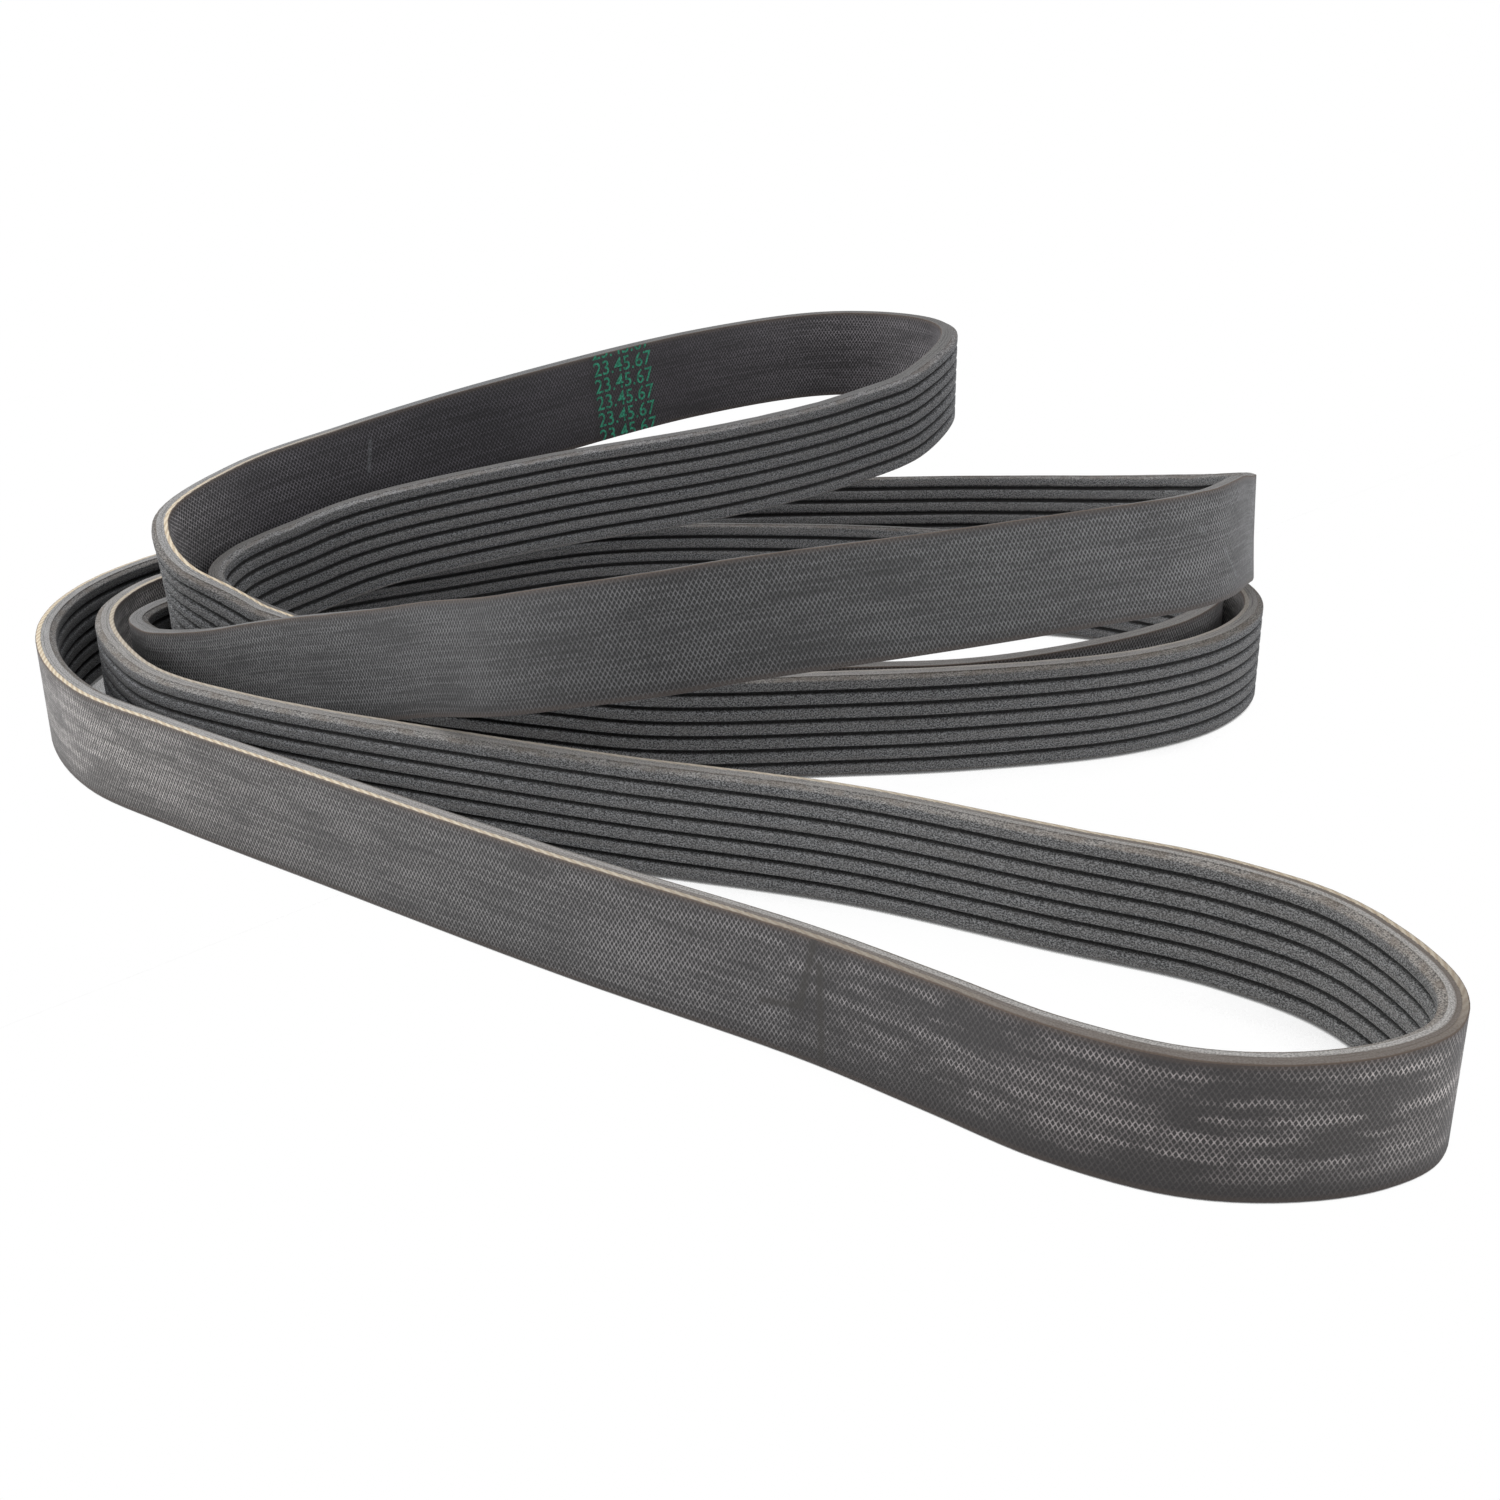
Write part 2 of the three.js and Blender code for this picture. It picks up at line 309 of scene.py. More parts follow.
def swept_grid(name, stops, loop_at, plan_shift):
    """A closed grid on stops x loop: loop_at(index, arc) gives (depth, across) pairs for one station."""
    deselect_all()
    around = len(loop_at(0, 0.0))
    bpy.ops.mesh.primitive_grid_add(x_subdivisions=len(stops), y_subdivisions=around, size=1)
    piece = bpy.context.object
    piece.name = piece.data.name = name
    mesh = piece.data
    frames = [belt_frame(t) for t, arc in stops]
    loops = [loop_at(k, arc) for k, (t, arc) in enumerate(stops)]
    spots = []
    for vertex in mesh.vertices:
        column = round((vertex.co.x + 0.5) * len(stops))
        row = round((vertex.co.y + 0.5) * around)
        spots.append((column, row))
        foot, out_of_back, across = frames[column % len(stops)]
        depth, side = loops[column % len(stops)][row % around]
        vertex.co = (foot + out_of_back * depth + across * side + plan_shift) * millimetre
    mesh.uv_layers.new(name="along")
    mesh.uv_layers.new(name="deep")
    along, deep = mesh.uv_layers["along"].data, mesh.uv_layers["deep"].data
    for corner in mesh.loops:
        column, row = spots[corner.vertex_index]
        arc = belt_length if column == len(stops) else stops[column][1]
        depth, side = loops[column % len(stops)][row % around]
        along[corner.index].uv = (arc * millimetre, side * millimetre)
        deep[corner.index].uv = (arc * millimetre, depth * millimetre)
    rows_of_faces = [min(spots[v][1] for v in face.vertices) for face in mesh.polygons]
    return piece, rows_of_faces


def close_ring(piece):
    """Merges the seams and turns the faces outwards."""
    deselect_all()
    piece.select_set(True)
    bpy.context.view_layer.objects.active = piece
    bpy.ops.object.mode_set(mode="EDIT")
    bpy.ops.mesh.select_all(action="SELECT")
    bpy.ops.mesh.remove_doubles(threshold=merge_distance)
    bpy.ops.mesh.normals_make_consistent(inside=False)
    bpy.ops.object.mode_set(mode="OBJECT")
    bpy.ops.object.shade_smooth_by_angle(angle=smooth_angle)
    print(piece.name, len(piece.data.vertices), "vertices")


# %% Placing the route in the frame
low, high = Vector((1e9,) * 3), Vector((-1e9,) * 3)
for t, arc in stations:
    foot, out_of_back, across = belt_frame(t)
    for depth in (-rib_reach, back_thickness):
        for side in (0.0, belt_width):
            corner = foot + out_of_back * depth + across * side
            low = Vector(map(min, low, corner))
            high = Vector(map(max, high, corner))
middle = (belt_low + belt_high) / 2 / millimetre
plan_shift = Vector((middle.x - (low.x + high.x) / 2, middle.y - (low.y + high.y) / 2, 0))
print("plan shift, mm:", [round(v, 2) for v in plan_shift])

# %% The belt
fine_roughness = (0.07, 0.9)
slow_roughness = (0.05, 0.15)


def belt_loop(station, arc):
    """The section of one station, with its cut edges roughened."""
    points = []
    for (depth, side), finish in zip(section, finish_of):
        if finish == "edge":
            place = (arc, depth, side)
            side += rough(place, *fine_roughness) + rough(place, *slow_roughness)
        points.append((depth, side))
    return points


belt, belt_rows = swept_grid("belt_surface", stations, belt_loop, plan_shift)
finish_order = ["back", "edge", "ribs"]
for name in finish_order:
    belt.data.materials.append(None)
for face, row in zip(belt.data.polygons, belt_rows):
    face.material_index = finish_order.index(finish_of[row])
close_ring(belt)
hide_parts("belt")
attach(belt, "root")

# %% [markdown]
# ## The printed stamp
#
# An ink stamp of plain figures, in rows, crosses the woven back inside the raised loop. The rows run off both
# edges of the belt, as they do when one wide sleeve is printed before it is cut. The text is made flat,
# trimmed to the belt's width and then laid on the woven back by its distance along the belt, a hair above
# the surface.

# %% Printed stamp
stamp_arc = 2019.3
stamp_width = 18.5
stamp_rows = 6
stamp_row_pitch = 4.88
stamp_letter_size = 5.8
stamp_top_line = 23.65
stamp_lift = 0.05
stamp_boldness = 0.03
stamp_letter_gap = 1.02
stamp_margin = 0.12


def t_at_arc(arc):
    """The curve parameter at a distance along the belt."""
    k = bisect.bisect_right(length, arc) - 1
    share = (arc - length[k]) / (length[k + 1] - length[k])
    return start + (k + share) / samples


deselect_all()
bpy.ops.object.text_add(location=(0, 0, 0))
stamp = bpy.context.object
stamp.name = "printed_stamp"
stamp.data.body = "\n".join(["23.45.67"] * stamp_rows)
stamp.data.size = stamp_letter_size
stamp.data.offset = stamp_boldness
stamp.data.space_line = stamp_row_pitch / stamp_letter_size
stamp.data.space_character = stamp_letter_gap
stamp.data.resolution_u = 3
bpy.ops.object.convert(target="MESH")
stamp = bpy.context.object
bpy.ops.transform.translate(value=(0, stamp_top_line, 0))
bpy.ops.object.transform_apply(location=True)
bpy.ops.object.mode_set(mode="EDIT")
for cut, outwards in ((stamp_margin, -1), (belt_width - stamp_margin, 1)):
    bpy.ops.mesh.select_all(action="SELECT")
    bpy.ops.mesh.bisect(plane_co=(0, cut, 0), plane_no=(0, outwards, 0), clear_outer=True)
bpy.ops.object.mode_set(mode="OBJECT")
print("stamp, mm:", [round(v, 1) for v in stamp.dimensions])
for vertex in stamp.data.vertices:
    foot, out_of_back, across = belt_frame(t_at_arc(stamp_arc - vertex.co.x))
    place = foot + out_of_back * (back_thickness + stamp_lift) + across * vertex.co.y
    vertex.co = (place + plan_shift) * millimetre
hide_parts("belt")
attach(stamp, "root")

# %% [markdown]
# ## The camera
#
# The photograph was taken from the front, a little above the belt. The camera's place is given on the
# route's own plan. The focal length is the one that makes strands of known width look as wide as they do in
# the picture, and it is measured in widths of the square picture.

# %% Camera
camera_plan = Vector((22.7, -405.9, 177.5))
camera_pitch = math.radians(22.97)
camera_roll = math.radians(-0.63)
focal_widths = 1873 / 1500
sensor = 36.0
camera_data = bpy.data.cameras.new("photo_camera")
camera_data.sensor_fit = "HORIZONTAL"
camera_data.sensor_width = sensor
camera_data.lens = focal_widths * sensor
camera_data.clip_start = 0.01
camera = bpy.data.objects.new("photo_camera", camera_data)
bpy.context.collection.objects.link(camera)
aim = Matrix.Rotation(math.pi / 2 - camera_pitch, 4, "X") @ Matrix.Rotation(camera_roll, 4, "Z")
camera.matrix_world = Matrix.Translation((camera_plan + plan_shift) * millimetre) @ aim
bpy.context.scene.camera = camera
print("camera at, m:", [round(v, 4) for v in camera.location])

# %% [markdown]
# ## Shader maths as plain expressions
#
# Wire wraps one output socket, so that a formula such as 1 - mask * 0.5 adds its own Math nodes. Finish
# holds one material and has one method for every other node.

# %% Wire and Finish
class Wire:
    def __init__(self, finish, socket):
        self.finish = finish
        self.socket = socket

    def math(self, operation, *others, clamp=False):
        inputs = {0: self}
        inputs.update({k + 1: other for k, other in enumerate(others)})
        return self.finish.node("ShaderNodeMath", {"operation": operation, "use_clamp": clamp}, inputs)

    def __add__(self, other):
        return self.math("ADD", other)

    def __sub__(self, other):
        return self.math("SUBTRACT", other)

    def __rsub__(self, other):
        return self.math("MULTIPLY_ADD", -1.0, other)

    def __mul__(self, other):
        return self.math("MULTIPLY", other)

    def __truediv__(self, other):
        return self.math("DIVIDE", other)

    __radd__ = __add__
    __rmul__ = __mul__

    def sine(self):
        return self.math("SINE")

    def clamped(self):
        return self.math("ADD", 0.0, clamp=True)

    def ramp(self, start, end):
        """Smoothly 0 before start and 1 after end; start may be the larger."""
        inputs = {0: self, 1: start, 2: end}
        return self.finish.node("ShaderNodeMapRange", {"interpolation_type": "SMOOTHSTEP"}, inputs)

    def band(self, centre, half, soft):
        """1 within half of centre, falling to 0 over soft."""
        return (self - centre).math("ABSOLUTE").ramp(half + soft, half)


class Finish:
    def __init__(self, name):
        self.material = bpy.data.materials.new(name)
        self.material.use_nodes = True
        self.tree = self.material.node_tree
        self.shader = self.tree.nodes["Principled BSDF"]

    def node(self, kind, settings=None, inputs=None, output=0):
        made = self.tree.nodes.new(kind)
        for key, value in (settings or {}).items():
            setattr(made, key, value)
        for key, value in (inputs or {}).items():
            self.feed(made.inputs[key], value)
        return Wire(self, made.outputs[output])

    def feed(self, socket, value):
        if isinstance(value, Wire):
            self.tree.links.new(value.socket, socket)
        else:
            socket.default_value = value

    def set(self, **values):
        for key, value in values.items():
            self.feed(self.shader.inputs[key.replace("_", " ").title()], value)

    def belt_map(self, name):
        """The named map in millimetres, as two wires."""
        place = self.node("ShaderNodeUVMap", {"uv_map": name})
        x = self.node("ShaderNodeSeparateXYZ", {}, {0: place}, 0)
        y = self.node("ShaderNodeSeparateXYZ", {}, {0: place}, 1)
        return x / millimetre, y / millimetre

    def grain(self, x, y, z, detail=2.0, roughness=0.5):
        """Noise at a place worked out by the caller, 0 to 1."""
        place = self.node("ShaderNodeCombineXYZ", {}, {0: x, 1: y, 2: z})
        inputs = {"Vector": place, "Scale": 1.0, "Detail": detail, "Roughness": roughness}
        return self.node("ShaderNodeTexNoise", {}, inputs)

    def stroke(self, x, y, start, end, half, soft):
        """1 on a line from start to end, half wide to each side, falling to 0 over soft."""
        run = (end[0] - start[0], end[1] - start[1])
        square = run[0] ** 2 + run[1] ** 2
        right, up = x - start[0], y - start[1]
        share = ((right * run[0] + up * run[1]) / square).clamped()
        aside, off = right - share * run[0], up - share * run[1]
        return (aside * aside + off * off).math("SQRT").ramp(half + soft, half)

    def tint_along(self, arc, stops):
        """A colour that changes slowly along the belt; stops are (arc in mm, red, green, blue), 0 to 1."""
        ramp = self.node("ShaderNodeValToRGB", {}, {0: arc / belt_length})
        elements = ramp.socket.node.color_ramp.elements
        while len(elements) < len(stops):
            elements.new(1.0)
        for element, (place, red, green, blue) in zip(elements, stops):
            element.position = place / belt_length
            element.color = (red, green, blue, 1.0)
        return ramp

    def share_along(self, arc, stops):
        """A number that changes slowly along the belt; stops are (arc in mm, share), 0 to 1."""
        return self.tint_along(arc, [(place, share, share, share) for place, share in stops])

    def times(self, first, second):
        """One colour multiplied by another."""
        return self.mix(1.0, first, second, "MULTIPLY")

    def mix(self, factor, first, second, blend="MIX"):
        settings = {"data_type": "RGBA", "blend_type": blend}
        return self.node("ShaderNodeMix", settings, {0: factor, 6: first, 7: second}, 2)

    def bump(self, height, distance, strength):
        inputs = {"Height": height, "Distance": distance, "Strength": strength}
        return self.node("ShaderNodeBump", {}, inputs)


def screen(red, green, blue):
    """Screen values from 0 to 255, turned to the linear colour that a shader wants."""
    shares = [value / 255 for value in (red, green, blue)]
    linear = [share / 12.92 if share <= 0.04045 else ((share + 0.055) / 1.055) ** 2.4 for share in shares]
    return (*linear, 1.0)


def grey(level, warmth=0):
    """A grey, made a little warmer, or cooler where warmth is below 0."""
    return screen(level + warmth, level, level - warmth)


# %% [markdown]
# ## The woven back
#
# The cover is a fine fabric cut on the bias, so its threads cross the belt at an angle and draw a net of
# small diamonds. A sine wave along each thread direction gives one family of lines, and the brighter of the
# two is the net. It is worn pale in bands as far apart as the ribs, because the cover is pressed hardest
# over them, and evenly where the belt has rubbed on flat things. How banded the cover is changes along the
# belt, and so does how dark it is drawn, which is partly its own tone and partly painted light and shade:
# lighter where a strand catches light at a grazing angle, darker on the strand in shade inside the raised
# loop. Both are lists of stops by distance. The splice of the fabric leaves dark lines, and the two long
# sides are browned.

# %% Woven back
cell_along = 0.97
cell_across = 1.53
band_offset = 0.5
cover_rim = 0.5
weave_relief = 0.12
splice_lines = [((-5.5, 24.9), (-2.3, 11.2)), ((5.6, 9.2), (-2.3, 10.7)), ((-6.4, 19.9), (-6.9, 1.2))]
pale_scuffs = [((729.3, 11.2), (724.2, 4.2)), ((738.2, 17.4), (736.5, 15.8)),
               ((2085.2, 19.4), (2088.0, 11.5))]
# How dark the cover is drawn along the belt, partly its own tone and partly painted light and shade
cover_tone_and_painted_light = [(0, 0.41, 0.39, 0.395), (70, 0.35, 0.34, 0.34), (140, 0.46, 0.44, 0.43),
              (200, 0.93, 0.88, 0.85), (640, 0.46, 0.46, 0.47), (724, 0.37, 0.37, 0.38),
              (745, 0.36, 0.36, 0.37), (790, 0.285, 0.29, 0.295), (870, 0.2, 0.2, 0.205),
              (950, 0.275, 0.275, 0.285), (1100, 0.48, 0.48, 0.48), (1850, 0.43, 0.41, 0.43),
              (1930, 0.34, 0.315, 0.34), (1990, 0.115, 0.1, 0.12), (2060, 0.12, 0.11, 0.13),
              (2120, 0.24, 0.225, 0.25), (2190, 0.9, 0.87, 0.86), (3120, 0.9, 0.85, 0.83),
              (3195, 0.9, 0.84, 0.82), (3235, 0.46, 0.415, 0.41), (3300, 0.43, 0.405, 0.41)]
band_share = [(0, 0.5), (25, 0.2), (130, 0.1), (165, 0.4), (190, 0.65), (260, 0.5), (640, 0.25),
              (760, 0.12), (1100, 0.1), (1850, 0.15), (2120, 0.1), (2190, 0.6), (3120, 0.7),
              (3190, 0.9), (3240, 1.0), (3290, 0.85)]


def woven_back():
    finish = Finish("woven_back")
    arc, side = finish.belt_map("along")

    # The net of threads
    wobble = (finish.grain(arc * 0.3, side * 0.3, 0.0) - 0.5) * 0.3
    rising = ((arc / cell_along + side / cell_across + wobble) * (2 * math.pi)).sine()
    falling = ((arc / cell_along - side / cell_across + wobble) * (2 * math.pi)).sine()
    lines = rising.ramp(0.35, 1.0).math("MAXIMUM", falling.ramp(0.35, 1.0))
    threads = (lines * 0.85 + (rising + falling) * 0.15).clamped()

    # Where the net is worn pale: in bands over the ribs, or evenly with fine scratches
    speck = finish.grain(arc * 2.2, side * 2.2, 3.0, 2.0, 0.6)
    patch = finish.grain(arc * 0.045, side * 0.13, 7.0, 3.0, 0.65)
    sway = (finish.grain(arc * 0.08, side * 0.2, 21.0, 2.0) - 0.5) * 1.6
    turns = (side + sway - band_offset) / rib_pitch + 0.25
    bands = (turns * (2 * math.pi)).sine().ramp(-0.4, 1.0)
    uneven = finish.grain(arc * 0.8, side * 0.9, 17.0, 2.0, 0.7).ramp(0.25, 0.7)
    scratch = finish.grain(arc * 0.04, side * 1.3, 29.0, 2.0, 0.6).ramp(0.42, 0.62)
    banded = finish.share_along(arc, band_share)
    striped = patch.ramp(0.4, 0.58) * side.ramp(2.0, 7.0) * (bands * 0.55 + 0.36) + 0.08
    even = patch.ramp(0.3, 0.7) * 0.38 + scratch * 0.48 + 0.36
    wear = ((striped * banded + even * (1.0 - banded)) * (uneven * 0.8 + 0.5)).clamped()

    # Dark, clouded rubber below the threads, and the pale threads on it
    cloud = finish.grain(arc * 0.02, side * 0.06, 11.0, 2.0)
    ground = finish.mix(cloud.ramp(0.35, 0.7), grey(56, 1), grey(67))
    ground = finish.mix(speck.ramp(0.35, 0.7) * 0.5, ground, grey(86))
    ground = finish.mix(scratch * 0.12 * (1.0 - banded), ground, grey(104))
    colour = finish.mix(threads * wear * speck.ramp(0.1, 0.5), ground, grey(228, 1))
    # Tone along the belt, partly the cover's own and partly painted light and shade
    colour = finish.times(colour, finish.tint_along(arc, cover_tone_and_painted_light))

    # Shade and brown along both sides, and a darker ground below the stamp
    rim = (side.band(0.0, cover_rim, 0.9) + side.band(belt_width, cover_rim, 0.9)).clamped()
    shade = side.ramp(4.0, 0.5) * 0.3 + side.ramp(belt_width - 3.5, belt_width - 0.8) * 0.22
    colour = finish.mix(shade, colour, screen(44, 38, 37))
    colour = finish.mix(rim * 0.6, colour, screen(76, 66, 60))
    printed = arc.band(stamp_arc - stamp_width / 2, stamp_width / 2 + 0.5, 1.5)
    colour = finish.mix(printed * 0.5, colour, screen(32, 26, 28))

    # Single marks: the dark lines of the splice and a few pale scuffs
    from_splice = arc - arc.math("GREATER_THAN", belt_length / 2) * belt_length
    for start_at, end_at in splice_lines:
        line = finish.stroke(from_splice, side, start_at, end_at, 0.2, 1.1)
        colour = finish.mix(line * 0.8, colour, grey(50, 3))
    for start_at, end_at in pale_scuffs:
        line = finish.stroke(arc + speck - 0.5, side, start_at, end_at, 0.1, 0.7)
        colour = finish.mix(line * speck.ramp(0.35, 0.6) * 0.4, colour, grey(140, -3))

    finish.set(base_color=colour, roughness=0.6, sheen_weight=0.08)
    height = threads * (wear * 0.7 + 0.15) + speck * 0.4
    finish.set(normal=finish.bump(height, weave_relief * millimetre, 0.8))
    return finish.material


# %% [markdown]
# ## The cut edges
#
# Belts are cut side by side from one wide sleeve, so each long edge shows the layers: the cover's brown rim,
# the pale twisted cord that the knife left bare in places, dark films of rubber and the speckled rib rubber
# below. The layers are bands of depth, and fraying noise moves their borders. Lists of stops say where along
# the belt the cord is bare and the edge is browned.

# %% Cut edge
cord_twist = 2.8
edge_relief = 0.2
# Brightness of the cut edge along the belt, partly painted light and shade
edge_tone_and_painted_light = [(0, 0.95, 0.93, 0.9), (60, 0.9, 0.88, 0.86), (150, 1.0, 0.99, 0.98), (300, 0.9, 0.9, 0.9),
             (640, 0.6, 0.59, 0.58), (900, 0.5, 0.5, 0.5), (1100, 0.75, 0.75, 0.75), (1500, 0.5, 0.48, 0.46),
             (1850, 0.4, 0.4, 0.4), (1935, 0.42, 0.41, 0.4), (2060, 0.5, 0.52, 0.54),
             (2150, 0.85, 0.85, 0.85), (2250, 0.8, 0.78, 0.76), (2600, 0.5, 0.48, 0.46),
             (2800, 0.9, 0.88, 0.86), (3050, 0.72, 0.7, 0.67), (3200, 1.0, 0.98, 0.95)]
browned_edge = [(0, 0.8), (60, 0.3), (110, 0), (3040, 0), (3120, 1), (3300, 0.8)]
bared_cord = [(0, 0.3), (40, 0.6), (110, 1), (260, 1), (420, 0.3), (700, 0), (1000, 0), (1940, 0),
              (2080, 0), (2150, 1), (2260, 1), (2330, 0.1), (2700, 0.2), (2800, 0.7), (2960, 0.3),
              (3050, 0.6), (3165, 0.6), (3195, 0), (3260, 0), (3300, 0.3)]


def cut_edge():
    finish = Finish("cut_edge")
    arc, depth = finish.belt_map("deep")
    speck = finish.grain(arc * 2.6, depth * 3.4, 1.0, 3.0, 0.65)
    streak = finish.grain(arc * 0.12, depth * 3.0, 5.0, 3.0, 0.6)
    fray = (finish.grain(arc * 1.6, depth * 0.6, 9.0, 3.0, 0.7) - 0.5) * 0.8

    # Speckled rubber with two dark films, browned in places
    rubber = finish.mix(speck.ramp(0.34, 0.66), grey(112, 1), grey(176, 2))
    rubber = finish.mix(streak.ramp(0.45, 0.7) * 0.4, rubber, grey(184))
    frayed = depth + fray * 0.3
    film = frayed.band(-0.25, 0.05, 0.1) + frayed.band(-1.0, 0.05, 0.12)
    rubber = finish.mix(film * streak.ramp(0.62, 0.4) * 0.65, rubber, grey(66, -2))
    # Tone along the belt, partly painted light and shade
    rubber = finish.times(rubber, finish.tint_along(arc, edge_tone_and_painted_light))
    brown = finish.share_along(arc, browned_edge) * (depth + fray * 0.4).ramp(-1.5, -0.9)
    rubber = finish.mix(brown * 0.85, rubber, screen(84, 73, 64))

    # The bared cord: a broad frayed band and a thin, steadier one in streaks, both twisted
    bared = finish.share_along(arc, bared_cord)
    cord = (depth + fray).band(0.3, 0.42, 0.2) * bared
    thin = (depth + fray * 0.4).band(0.4, 0.1, 0.14)
    cord = cord.math("MAXIMUM", thin * bared * streak.ramp(0.4, 0.55))
    twist = ((arc + depth * 2.6 + fray * 1.6) * (2 * math.pi / cord_twist)).sine() * 0.35 + 0.65
    pale = (twist * speck.ramp(0.25, 0.5)).clamped()
    thread = finish.mix(pale, screen(236, 226, 204), screen(190, 170, 142))
    colour = finish.mix(cord.clamped(), rubber, thread)

    # The brown rim of the cover
    rim = (depth + fray * 0.2).ramp(0.7, 0.9)
    colour = finish.mix(rim * 0.8, colour, screen(90, 76, 66))

    finish.set(base_color=colour, roughness=0.8)
    height = speck * 0.6 + cord * twist * 0.9
    finish.set(normal=finish.bump(height, edge_relief * millimetre, 0.8))
    return finish.material


# %% [markdown]
# ## The ribs
#
# Rib rubber is filled with short fibres that stand out of the ground flanks as pale specks, which fine noise
# with a hard ramp gives. The tips have rubbed a little lighter in streaks, dust and shade sit in the grooves,
# and the outermost flanks, which stand proud when the belt lies on its edge, are drawn pale grey, partly from
# wear and partly as painted light, because the upper one faces up to the light.

# %% Ribbed rubber
fibre_relief = 0.16
# Brightness of the rib rubber along the belt, partly painted light and shade
rib_tone_and_painted_light = [(0, 0.8, 0.8, 0.8), (229, 0.7, 0.7, 0.7), (338, 0.42, 0.42, 0.44), (480, 0.5, 0.5, 0.51),
            (560, 0.68, 0.67, 0.67), (620, 0.8, 0.8, 0.8), (1088, 0.5, 0.5, 0.51), (1395, 0.72, 0.72, 0.73),
            (1694, 0.6, 0.6, 0.61), (1840, 0.66, 0.66, 0.67), (1890, 0.86, 0.86, 0.88), (2146, 0.8, 0.8, 0.8),
            (2182, 0.95, 0.95, 0.95), (2400, 0.82, 0.82, 0.82), (2535, 0.78, 0.78, 0.8),
            (2875, 0.94, 0.94, 0.95), (3000, 1.0, 1.0, 1.0), (3177, 0.92, 0.91, 0.89)]
# Tone of the outermost flanks along the belt, partly painted light and shade
flank_tone_and_painted_light = [(0, 0.9, 0.87, 0.83), (338, 0.8, 0.8, 0.8), (1088, 0.8, 0.79, 0.78), (1400, 0.62, 0.61, 0.61),
              (1700, 0.8, 0.82, 0.85), (1884, 0.75, 0.76, 0.79), (1943, 0.8, 0.8, 0.82),
              (2182, 0.78, 0.76, 0.74), (2461, 0.66, 0.63, 0.59), (2793, 1.0, 0.98, 0.94),
              (2880, 1.0, 0.99, 0.97), (3020, 0.92, 0.92, 0.91), (3177, 1.0, 0.96, 0.91)]


def rib_rubber():
    finish = Finish("rib_rubber")
    arc, side = finish.belt_map("along")
    depth = finish.belt_map("deep")[1]
    fibre = finish.grain(arc * 2.6, side * 3.4, depth * 3.4, 3.0, 0.7)
    mottle = finish.grain(arc * 0.2, side * 0.5, depth * 0.5, 2.0, 0.5)
    streak = finish.grain(arc * 0.01, side * 1.1, 4.0, 2.0, 0.6)

    # Fibre-filled rubber, dark in the grooves and rubbed at the tips
    base = finish.mix(fibre.ramp(0.43, 0.6), grey(57, -1), grey(156, -1))
    base = finish.mix(mottle.ramp(0.4, 0.7) * 0.25, base, grey(108, 2))
    # Tone along the belt, partly painted light and shade: lighter on strands that face a lamp, darker on
    # strands in the shade of others
    base = finish.times(base, finish.tint_along(arc, rib_tone_and_painted_light))
    groove = depth.ramp(-rib_reach + 0.25, -rib_reach + 1.0)
    colour = finish.mix(groove * 0.85, base, grey(32, 1))
    tip = depth.ramp(-rib_reach + 0.2, -rib_reach) * streak.ramp(0.35, 0.7)
    colour = finish.mix(tip * 0.25, colour, grey(122, 4))

    # The two outermost flanks, pale partly from wear and partly as painted light
    outer = (side.ramp(1.2, 0.5) + side.ramp(belt_width - 1.2, belt_width - 0.5)).clamped()
    flank_wear_and_light = finish.mix(fibre.ramp(0.38, 0.62), grey(78, 1), grey(164, 3))
    flank_wear_and_light = finish.mix(mottle.ramp(0.4, 0.65) * 0.5, flank_wear_and_light, screen(112, 102, 92))
    flank_wear_and_light = finish.times(flank_wear_and_light, finish.tint_along(arc, flank_tone_and_painted_light))
    colour = finish.mix(outer * 0.9, colour, flank_wear_and_light)

    finish.set(base_color=colour, roughness=0.82)
    finish.set(normal=finish.bump(fibre, fibre_relief * millimetre, 0.7))
    return finish.material


# %% [markdown]
# ## The ink
#
# Stamp ink is matt and sinks unevenly into the weave, so a little noise mixes two greens. The pattern reads
# object coordinates, because the print is too small to need a map of its own.

# %% Stamp ink
def stamp_ink():
    finish = Finish("stamp_ink")
    place = finish.node("ShaderNodeTexCoord", {}, {}, "Object")
    speck = finish.node("ShaderNodeTexNoise", {}, {"Vector": place, "Scale": 1600.0, "Detail": 2.0})
    colour = finish.mix(speck.ramp(0.35, 0.62), screen(22, 96, 74), screen(48, 150, 118))
    finish.set(base_color=colour, roughness=0.7)
    return finish.material


stamp.data.materials.append(stamp_ink())

# %% [markdown]
# ## Dressing the belt
#
# The belt's faces already carry the number of their finish, so the three materials only take their places.

# %% Dressing the belt
finishes = {"back": woven_back(), "edge": cut_edge(), "ribs": rib_rubber()}
for index, name in enumerate(finish_order):
    belt.data.materials[index] = finishes[name]
counts = [0] * len(finish_order)
for face in belt.data.polygons:
    counts[face.material_index] += 1
print("faces per finish:", dict(zip(finish_order, counts)))
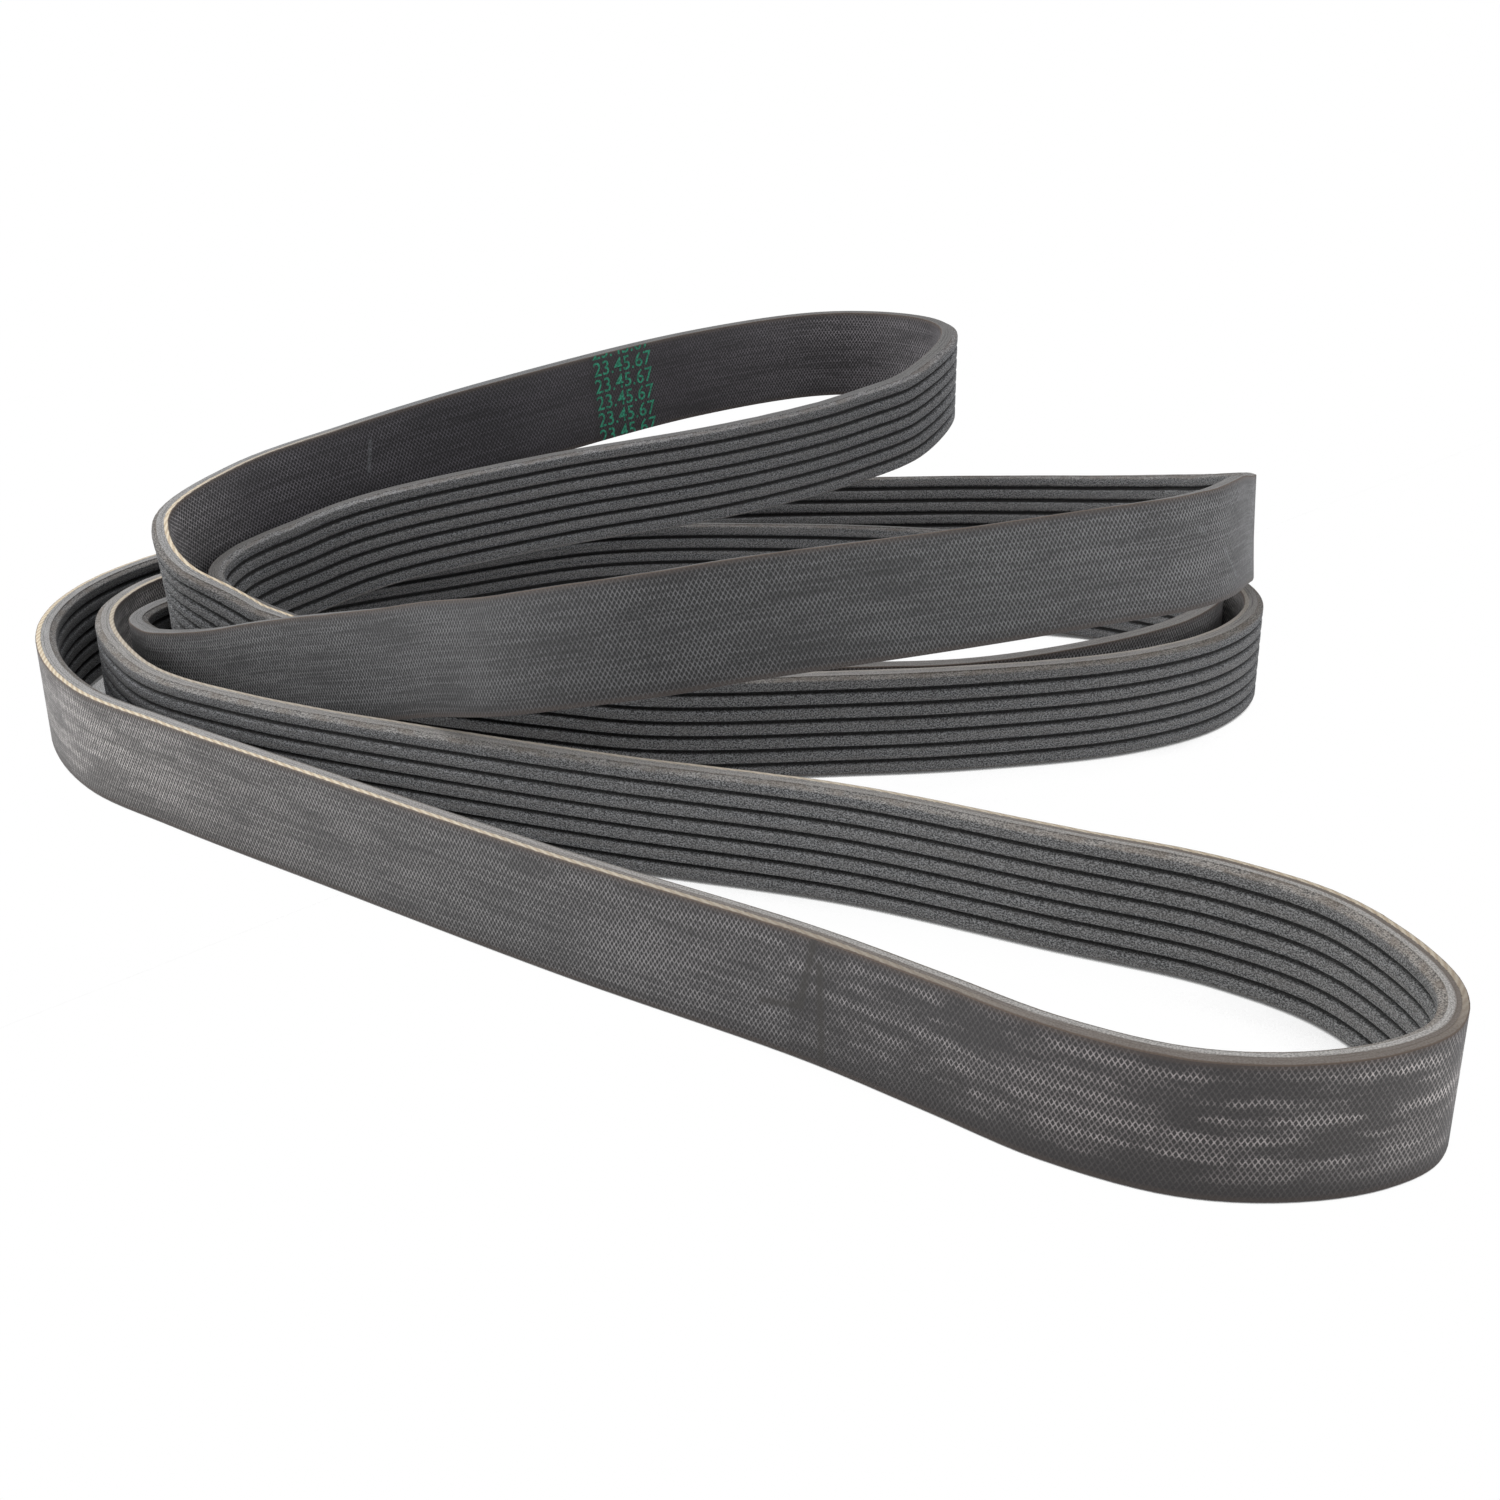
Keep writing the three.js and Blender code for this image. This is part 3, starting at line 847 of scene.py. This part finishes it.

# %% [markdown]
# ## Floor, light and backdrop
#
# The belt stands on plain white with hardly a shadow. The floor shows the camera plain white where it lies
# open, with painted shade in the narrow gaps between strands, where ambient occlusion dims its glow. A pale
# world gives even light from all sides, and three large lamps lift the surfaces that face up, left and right.

# %% Floor
floor_size = 60.0
floor_drop = 0.0002
gap_reach = 0.06
deselect_all()
bpy.ops.mesh.primitive_plane_add(size=floor_size, location=(0, 0, -floor_drop))
floor = bpy.context.object
floor.name = "floor"
floor_finish = Finish("white_floor")
tree = floor_finish.tree
floor_finish.set(base_color=(0.8, 0.8, 0.8, 1.0), roughness=0.9)
openness = floor_finish.node("ShaderNodeAmbientOcclusion", {"samples": 8}, {"Distance": gap_reach}, "AO")
# Painted shade: the floor's glow is dimmed where it lies in a narrow gap
glow_with_painted_gap_shade = openness.ramp(0.12, 0.42) * 0.9 + 0.1
shown = floor_finish.node("ShaderNodeEmission", {}, {"Color": (1, 1, 1, 1), "Strength": glow_with_painted_gap_shade})
is_camera = floor_finish.node("ShaderNodeLightPath", {}, {}, "Is Camera Ray")
lit = Wire(floor_finish, floor_finish.shader.outputs[0])
surface = floor_finish.node("ShaderNodeMixShader", {}, {0: is_camera, 1: lit, 2: shown})
tree.links.new(surface.socket, tree.nodes["Material Output"].inputs["Surface"])
floor.data.materials.append(floor_finish.material)

# %% World and lamps
world = bpy.data.worlds.new("studio")
bpy.context.scene.world = world
world.use_nodes = True
nodes, links = world.node_tree.nodes, world.node_tree.links
background = nodes["Background"]
white = nodes.new("ShaderNodeBackground")
white.inputs["Color"].default_value = (1.0, 1.0, 1.0, 1.0)
white.inputs["Strength"].default_value = 1.0
background.inputs["Color"].default_value = (0.96, 0.97, 1.0, 1.0)
background.inputs["Strength"].default_value = 0.55
rays = nodes.new("ShaderNodeLightPath")
choose = nodes.new("ShaderNodeMixShader")
links.new(rays.outputs["Is Camera Ray"], choose.inputs[0])
links.new(background.outputs[0], choose.inputs[1])
links.new(white.outputs[0], choose.inputs[2])
links.new(choose.outputs[0], nodes["World Output"].inputs["Surface"])


def soft_lamp(name, place, target, size, power):
    """A round area lamp at place that shines at target."""
    lamp_data = bpy.data.lights.new(name, "AREA")
    lamp_data.shape = "DISK"
    lamp_data.size = size
    lamp_data.energy = power
    lamp = bpy.data.objects.new(name, lamp_data)
    lamp.location = place
    lamp.rotation_euler = (Vector(target) - Vector(place)).to_track_quat("-Z", "Y").to_euler()
    bpy.context.collection.objects.link(lamp)


soft_lamp("top_lamp", (-0.2, 0.1, 1.3), (0, 0, 0), 1.2, 8.0)
soft_lamp("left_lamp", (-1.3, -0.3, 0.6), (0, 0, 0.03), 0.9, 9.0)
soft_lamp("right_lamp", (1.3, -0.4, 0.6), (0, 0, 0.03), 0.9, 6.0)

# %% View settings
bpy.context.scene.view_settings.view_transform = "Standard"
